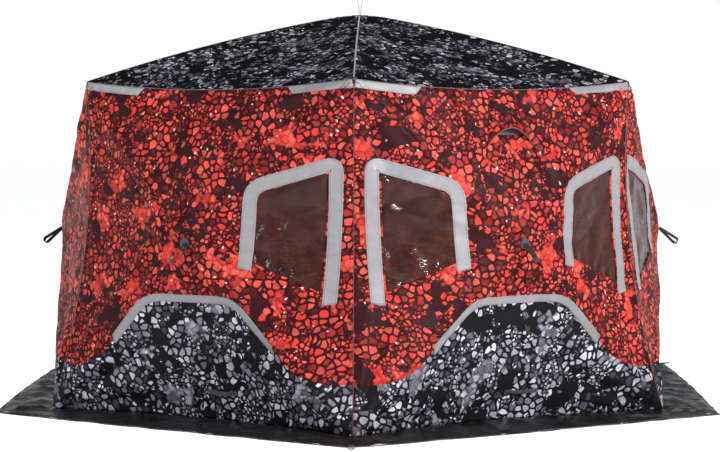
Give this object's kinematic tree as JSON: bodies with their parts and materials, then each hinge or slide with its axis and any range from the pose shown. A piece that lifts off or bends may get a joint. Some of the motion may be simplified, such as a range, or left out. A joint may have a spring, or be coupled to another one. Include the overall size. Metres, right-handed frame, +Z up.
{
  "type": "ice fishing shelter",
  "caption": "Pop-up hexagonal ice fishing shelter: fabric walls and roof on hinged hub-and-pole frames, with windows, door, roof vents and snow skirt.",
  "frame": {"origin": "middle of the floor, on the surface that the skirt rests on", "axes": "+Z up, -Y through the front corner, +X through the middle of a wall"},
  "size_m": [4.139, 4.774, 2.3772],
  "materials": {
    "wall_fabric": "woven polyester, printed stone camouflage, semi-gloss coating",
    "roof_fabric": "woven polyester, printed grey stone camouflage",
    "skirt_vinyl": "coated black vinyl, wrinkled",
    "clear_vinyl": "smoky clear vinyl, wrinkled",
    "reflective": "reflective tape",
    "mesh": "black mesh",
    "black_plastic": "moulded nylon",
    "steel": "plated",
    "webbing": "black webbing",
    "cord": "braided cord",
    "zip": "black zip tape",
    "pole_glass": "dark fibreglass"
  },
  "bodies": {
    "root": {"roof_canopy": "roof_fabric", "snow_skirt": "skirt_vinyl", "window_films": "clear_vinyl", "reflective_tape": "reflective", "vent_hoods": "wall_fabric", "vent_meshes": "mesh", "eave_corner_sockets": "black_plastic", "base_corner_sockets": "black_plastic", "skirt_grommets": "steel", "corner_tie_loops": "cord", "wall_straps": "webbing", "wall_panel_1": "wall_fabric", "wall_panel_2": "wall_fabric", "wall_panel_3": "wall_fabric", "wall_panel_4": "wall_fabric", "wall_panel_5": "wall_fabric", "wall_panel_6": "wall_fabric"},
    "wall_hub_1": {"wall_hub_1": "black_plastic"},
    "wall_pole_1_top_left": {"wall_pole_1_top_left": "pole_glass"},
    "wall_pole_1_top_right": {"wall_pole_1_top_right": "pole_glass"},
    "wall_pole_1_base_left": {"wall_pole_1_base_left": "pole_glass"},
    "wall_pole_1_base_right": {"wall_pole_1_base_right": "pole_glass"},
    "wall_hub_2": {"wall_hub_2": "black_plastic"},
    "wall_pole_2_top_left": {"wall_pole_2_top_left": "pole_glass"},
    "wall_pole_2_top_right": {"wall_pole_2_top_right": "pole_glass"},
    "wall_pole_2_base_left": {"wall_pole_2_base_left": "pole_glass"},
    "wall_pole_2_base_right": {"wall_pole_2_base_right": "pole_glass"},
    "wall_hub_3": {"wall_hub_3": "black_plastic"},
    "wall_pole_3_top_left": {"wall_pole_3_top_left": "pole_glass"},
    "wall_pole_3_top_right": {"wall_pole_3_top_right": "pole_glass"},
    "wall_pole_3_base_left": {"wall_pole_3_base_left": "pole_glass"},
    "wall_pole_3_base_right": {"wall_pole_3_base_right": "pole_glass"},
    "wall_hub_4": {"wall_hub_4": "black_plastic"},
    "wall_pole_4_top_left": {"wall_pole_4_top_left": "pole_glass"},
    "wall_pole_4_top_right": {"wall_pole_4_top_right": "pole_glass"},
    "wall_pole_4_base_left": {"wall_pole_4_base_left": "pole_glass"},
    "wall_pole_4_base_right": {"wall_pole_4_base_right": "pole_glass"},
    "wall_hub_5": {"wall_hub_5": "black_plastic"},
    "wall_pole_5_top_left": {"wall_pole_5_top_left": "pole_glass"},
    "wall_pole_5_top_right": {"wall_pole_5_top_right": "pole_glass"},
    "wall_pole_5_base_left": {"wall_pole_5_base_left": "pole_glass"},
    "wall_pole_5_base_right": {"wall_pole_5_base_right": "pole_glass"},
    "wall_hub_6": {"wall_hub_6": "black_plastic"},
    "wall_pole_6_top_left": {"wall_pole_6_top_left": "pole_glass"},
    "wall_pole_6_top_right": {"wall_pole_6_top_right": "pole_glass"},
    "wall_pole_6_base_left": {"wall_pole_6_base_left": "pole_glass"},
    "wall_pole_6_base_right": {"wall_pole_6_base_right": "pole_glass"},
    "roof_hub": {"roof_hub": "black_plastic"},
    "roof_pole_1": {"roof_pole_1": "pole_glass"},
    "roof_pole_2": {"roof_pole_2": "pole_glass"},
    "roof_pole_3": {"roof_pole_3": "pole_glass"},
    "roof_pole_4": {"roof_pole_4": "pole_glass"},
    "roof_pole_5": {"roof_pole_5": "pole_glass"},
    "roof_pole_6": {"roof_pole_6": "pole_glass"},
    "door_facet": {"door_zip_tape": "zip"},
    "door_flap": {"door_flap": "wall_fabric"},
    "door_zip_slider": {"door_zip_slider": "black_plastic"}
  },
  "joints": [
    {"name": "wall_hub_1_push", "type": "slide", "parent": "root", "child": "wall_hub_1", "axis": [-0.5, 0.866, 0], "range_m": [0, 0.3], "deforming": ["wall_panel_1"]},
    {"name": "wall_pole_1_top_left_turn", "type": "hinge", "parent": "wall_hub_1", "child": "wall_pole_1_top_left", "pos_m": [0.85812, -1.5619, 1.01571], "axis": [0.5948, 0.3434, 0.7269], "range_deg": [0, 15.1]},
    {"name": "wall_pole_1_top_right_turn", "type": "hinge", "parent": "wall_hub_1", "child": "wall_pole_1_top_right", "pos_m": [0.92358, -1.5241, 1.01571], "axis": [0.5948, 0.3434, -0.7269], "range_deg": [0, 15.1]},
    {"name": "wall_pole_1_base_left_turn", "type": "hinge", "parent": "wall_hub_1", "child": "wall_pole_1_base_left", "pos_m": [0.85841, -1.56173, 0.94393], "axis": [-0.6007, -0.3468, 0.7203], "range_deg": [0, 13.5]},
    {"name": "wall_pole_1_base_right_turn", "type": "hinge", "parent": "wall_hub_1", "child": "wall_pole_1_base_right", "pos_m": [0.92329, -1.52427, 0.94393], "axis": [-0.6007, -0.3468, -0.7203], "range_deg": [0, 13.5]},
    {"name": "wall_hub_2_push", "type": "slide", "parent": "root", "child": "wall_hub_2", "axis": [-1, 0, 0], "range_m": [0, 0.3], "deforming": ["wall_panel_2"]},
    {"name": "wall_pole_2_top_left_turn", "type": "hinge", "parent": "wall_hub_2", "child": "wall_pole_2_top_left", "pos_m": [1.7817, -0.0378, 1.01571], "axis": [0, 0.6868, 0.7269], "range_deg": [0, 15.1]},
    {"name": "wall_pole_2_top_right_turn", "type": "hinge", "parent": "wall_hub_2", "child": "wall_pole_2_top_right", "pos_m": [1.7817, 0.0378, 1.01571], "axis": [0, 0.6868, -0.7269], "range_deg": [0, 15.1]},
    {"name": "wall_pole_2_base_left_turn", "type": "hinge", "parent": "wall_hub_2", "child": "wall_pole_2_base_left", "pos_m": [1.7817, -0.03746, 0.94393], "axis": [0, -0.6937, 0.7203], "range_deg": [0, 13.5]},
    {"name": "wall_pole_2_base_right_turn", "type": "hinge", "parent": "wall_hub_2", "child": "wall_pole_2_base_right", "pos_m": [1.7817, 0.03746, 0.94393], "axis": [0, -0.6937, -0.7203], "range_deg": [0, 13.5]},
    {"name": "wall_hub_3_push", "type": "slide", "parent": "root", "child": "wall_hub_3", "axis": [-0.5, -0.866, 0], "range_m": [0, 0.3], "deforming": ["wall_panel_3"]},
    {"name": "wall_pole_3_top_left_turn", "type": "hinge", "parent": "wall_hub_3", "child": "wall_pole_3_top_left", "pos_m": [0.92358, 1.5241, 1.01571], "axis": [-0.5948, 0.3434, 0.7269], "range_deg": [0, 15.1]},
    {"name": "wall_pole_3_top_right_turn", "type": "hinge", "parent": "wall_hub_3", "child": "wall_pole_3_top_right", "pos_m": [0.85812, 1.5619, 1.01571], "axis": [-0.5948, 0.3434, -0.7269], "range_deg": [0, 15.1]},
    {"name": "wall_pole_3_base_left_turn", "type": "hinge", "parent": "wall_hub_3", "child": "wall_pole_3_base_left", "pos_m": [0.92329, 1.52427, 0.94393], "axis": [0.6007, -0.3468, 0.7203], "range_deg": [0, 13.5]},
    {"name": "wall_pole_3_base_right_turn", "type": "hinge", "parent": "wall_hub_3", "child": "wall_pole_3_base_right", "pos_m": [0.85841, 1.56173, 0.94393], "axis": [0.6007, -0.3468, -0.7203], "range_deg": [0, 13.5]},
    {"name": "wall_hub_4_push", "type": "slide", "parent": "root", "child": "wall_hub_4", "axis": [0.5, -0.866, 0], "range_m": [0, 0.3], "deforming": ["wall_panel_4"]},
    {"name": "wall_pole_4_top_left_turn", "type": "hinge", "parent": "wall_hub_4", "child": "wall_pole_4_top_left", "pos_m": [-0.85812, 1.5619, 1.01571], "axis": [-0.5948, -0.3434, 0.7269], "range_deg": [0, 15.1]},
    {"name": "wall_pole_4_top_right_turn", "type": "hinge", "parent": "wall_hub_4", "child": "wall_pole_4_top_right", "pos_m": [-0.92358, 1.5241, 1.01571], "axis": [-0.5948, -0.3434, -0.7269], "range_deg": [0, 15.1]},
    {"name": "wall_pole_4_base_left_turn", "type": "hinge", "parent": "wall_hub_4", "child": "wall_pole_4_base_left", "pos_m": [-0.85841, 1.56173, 0.94393], "axis": [0.6007, 0.3468, 0.7203], "range_deg": [0, 13.5]},
    {"name": "wall_pole_4_base_right_turn", "type": "hinge", "parent": "wall_hub_4", "child": "wall_pole_4_base_right", "pos_m": [-0.92329, 1.52427, 0.94393], "axis": [0.6007, 0.3468, -0.7203], "range_deg": [0, 13.5]},
    {"name": "wall_hub_5_push", "type": "slide", "parent": "root", "child": "wall_hub_5", "axis": [1, 0, 0], "range_m": [0, 0.3], "deforming": ["wall_panel_5"]},
    {"name": "wall_pole_5_top_left_turn", "type": "hinge", "parent": "wall_hub_5", "child": "wall_pole_5_top_left", "pos_m": [-1.7817, 0.0378, 1.01571], "axis": [0, -0.6868, 0.7269], "range_deg": [0, 15.1]},
    {"name": "wall_pole_5_top_right_turn", "type": "hinge", "parent": "wall_hub_5", "child": "wall_pole_5_top_right", "pos_m": [-1.7817, -0.0378, 1.01571], "axis": [0, -0.6868, -0.7269], "range_deg": [0, 15.1]},
    {"name": "wall_pole_5_base_left_turn", "type": "hinge", "parent": "wall_hub_5", "child": "wall_pole_5_base_left", "pos_m": [-1.7817, 0.03746, 0.94393], "axis": [0, 0.6937, 0.7203], "range_deg": [0, 13.5]},
    {"name": "wall_pole_5_base_right_turn", "type": "hinge", "parent": "wall_hub_5", "child": "wall_pole_5_base_right", "pos_m": [-1.7817, -0.03746, 0.94393], "axis": [0, 0.6937, -0.7203], "range_deg": [0, 13.5]},
    {"name": "wall_hub_6_push", "type": "slide", "parent": "root", "child": "wall_hub_6", "axis": [0.5, 0.866, 0], "range_m": [0, 0.3], "deforming": ["wall_panel_6"]},
    {"name": "wall_pole_6_top_left_turn", "type": "hinge", "parent": "wall_hub_6", "child": "wall_pole_6_top_left", "pos_m": [-0.92358, -1.5241, 1.01571], "axis": [0.5948, -0.3434, 0.7269], "range_deg": [0, 15.1]},
    {"name": "wall_pole_6_top_right_turn", "type": "hinge", "parent": "wall_hub_6", "child": "wall_pole_6_top_right", "pos_m": [-0.85812, -1.5619, 1.01571], "axis": [0.5948, -0.3434, -0.7269], "range_deg": [0, 15.1]},
    {"name": "wall_pole_6_base_left_turn", "type": "hinge", "parent": "wall_hub_6", "child": "wall_pole_6_base_left", "pos_m": [-0.92329, -1.52427, 0.94393], "axis": [-0.6007, 0.3468, 0.7203], "range_deg": [0, 13.5]},
    {"name": "wall_pole_6_base_right_turn", "type": "hinge", "parent": "wall_hub_6", "child": "wall_pole_6_base_right", "pos_m": [-0.85841, -1.56173, 0.94393], "axis": [-0.6007, 0.3468, -0.7203], "range_deg": [0, 13.5]},
    {"name": "roof_hub_pull", "type": "slide", "parent": "root", "child": "roof_hub", "axis": [0, 0, -1], "range_m": [0, 0.4], "deforming": ["roof_canopy"]},
    {"name": "roof_pole_1_turn", "type": "hinge", "parent": "roof_hub", "child": "roof_pole_1", "pos_m": [0, -0.078, 2.2337], "axis": [-1, 0, 0], "range_deg": [0, 13.9]},
    {"name": "roof_pole_2_turn", "type": "hinge", "parent": "roof_hub", "child": "roof_pole_2", "pos_m": [0.06755, -0.039, 2.2337], "axis": [-0.5, -0.866, 0], "range_deg": [0, 13.9]},
    {"name": "roof_pole_3_turn", "type": "hinge", "parent": "roof_hub", "child": "roof_pole_3", "pos_m": [0.06755, 0.039, 2.2337], "axis": [0.5, -0.866, 0], "range_deg": [0, 13.9]},
    {"name": "roof_pole_4_turn", "type": "hinge", "parent": "roof_hub", "child": "roof_pole_4", "pos_m": [0, 0.078, 2.2337], "axis": [1, 0, 0], "range_deg": [0, 13.9]},
    {"name": "roof_pole_5_turn", "type": "hinge", "parent": "roof_hub", "child": "roof_pole_5", "pos_m": [-0.06755, 0.039, 2.2337], "axis": [0.5, 0.866, 0], "range_deg": [0, 13.9]},
    {"name": "roof_pole_6_turn", "type": "hinge", "parent": "roof_hub", "child": "roof_pole_6", "pos_m": [-0.06755, -0.039, 2.2337], "axis": [-0.5, 0.866, 0], "range_deg": [0, 13.9]},
    {"name": "door_facet_fold", "type": "hinge", "parent": "root", "child": "door_facet", "pos_m": [-1.73202, -0.99996, 0], "axis": [0.1045, 0.0601, 0.9927], "range_deg": [0, 18.3]},
    {"name": "door_swing", "type": "hinge", "parent": "door_facet", "child": "door_flap", "pos_m": [-1.62242, -1.01012, 0.28], "axis": [-0.0946, -0.0716, -0.9929], "range_deg": [0, 150]},
    {"name": "door_zip_slide", "type": "slide", "parent": "door_facet", "child": "door_zip_slider", "axis": [0.5595, -0.6697, -0.4883], "range_m": [0, 0.3]}
  ],
  "couplings": [
    {"joint": "wall_pole_1_top_left_turn", "follows": "wall_hub_1_push", "rad_per_m": 0.8636},
    {"joint": "wall_pole_1_top_right_turn", "follows": "wall_hub_1_push", "rad_per_m": 0.8636},
    {"joint": "wall_pole_1_base_left_turn", "follows": "wall_hub_1_push", "rad_per_m": 0.7695},
    {"joint": "wall_pole_1_base_right_turn", "follows": "wall_hub_1_push", "rad_per_m": 0.7695},
    {"joint": "wall_pole_2_top_left_turn", "follows": "wall_hub_2_push", "rad_per_m": 0.8636},
    {"joint": "wall_pole_2_top_right_turn", "follows": "wall_hub_2_push", "rad_per_m": 0.8636},
    {"joint": "wall_pole_2_base_left_turn", "follows": "wall_hub_2_push", "rad_per_m": 0.7695},
    {"joint": "wall_pole_2_base_right_turn", "follows": "wall_hub_2_push", "rad_per_m": 0.7695},
    {"joint": "wall_pole_3_top_left_turn", "follows": "wall_hub_3_push", "rad_per_m": 0.8636},
    {"joint": "wall_pole_3_top_right_turn", "follows": "wall_hub_3_push", "rad_per_m": 0.8636},
    {"joint": "wall_pole_3_base_left_turn", "follows": "wall_hub_3_push", "rad_per_m": 0.7695},
    {"joint": "wall_pole_3_base_right_turn", "follows": "wall_hub_3_push", "rad_per_m": 0.7695},
    {"joint": "wall_pole_4_top_left_turn", "follows": "wall_hub_4_push", "rad_per_m": 0.8636},
    {"joint": "wall_pole_4_top_right_turn", "follows": "wall_hub_4_push", "rad_per_m": 0.8636},
    {"joint": "wall_pole_4_base_left_turn", "follows": "wall_hub_4_push", "rad_per_m": 0.7695},
    {"joint": "wall_pole_4_base_right_turn", "follows": "wall_hub_4_push", "rad_per_m": 0.7695},
    {"joint": "wall_pole_5_top_left_turn", "follows": "wall_hub_5_push", "rad_per_m": 0.8636},
    {"joint": "wall_pole_5_top_right_turn", "follows": "wall_hub_5_push", "rad_per_m": 0.8636},
    {"joint": "wall_pole_5_base_left_turn", "follows": "wall_hub_5_push", "rad_per_m": 0.7695},
    {"joint": "wall_pole_5_base_right_turn", "follows": "wall_hub_5_push", "rad_per_m": 0.7695},
    {"joint": "wall_pole_6_top_left_turn", "follows": "wall_hub_6_push", "rad_per_m": 0.8636},
    {"joint": "wall_pole_6_top_right_turn", "follows": "wall_hub_6_push", "rad_per_m": 0.8636},
    {"joint": "wall_pole_6_base_left_turn", "follows": "wall_hub_6_push", "rad_per_m": 0.7695},
    {"joint": "wall_pole_6_base_right_turn", "follows": "wall_hub_6_push", "rad_per_m": 0.7695},
    {"joint": "roof_pole_1_turn", "follows": "roof_hub_pull", "rad_per_m": 0.595},
    {"joint": "roof_pole_2_turn", "follows": "roof_hub_pull", "rad_per_m": 0.595},
    {"joint": "roof_pole_3_turn", "follows": "roof_hub_pull", "rad_per_m": 0.595},
    {"joint": "roof_pole_4_turn", "follows": "roof_hub_pull", "rad_per_m": 0.595},
    {"joint": "roof_pole_5_turn", "follows": "roof_hub_pull", "rad_per_m": 0.595},
    {"joint": "roof_pole_6_turn", "follows": "roof_hub_pull", "rad_per_m": 0.595},
    {"joint": "door_facet_fold", "follows": "wall_hub_6_push", "rad_per_m": 1.0488}
  ]
}
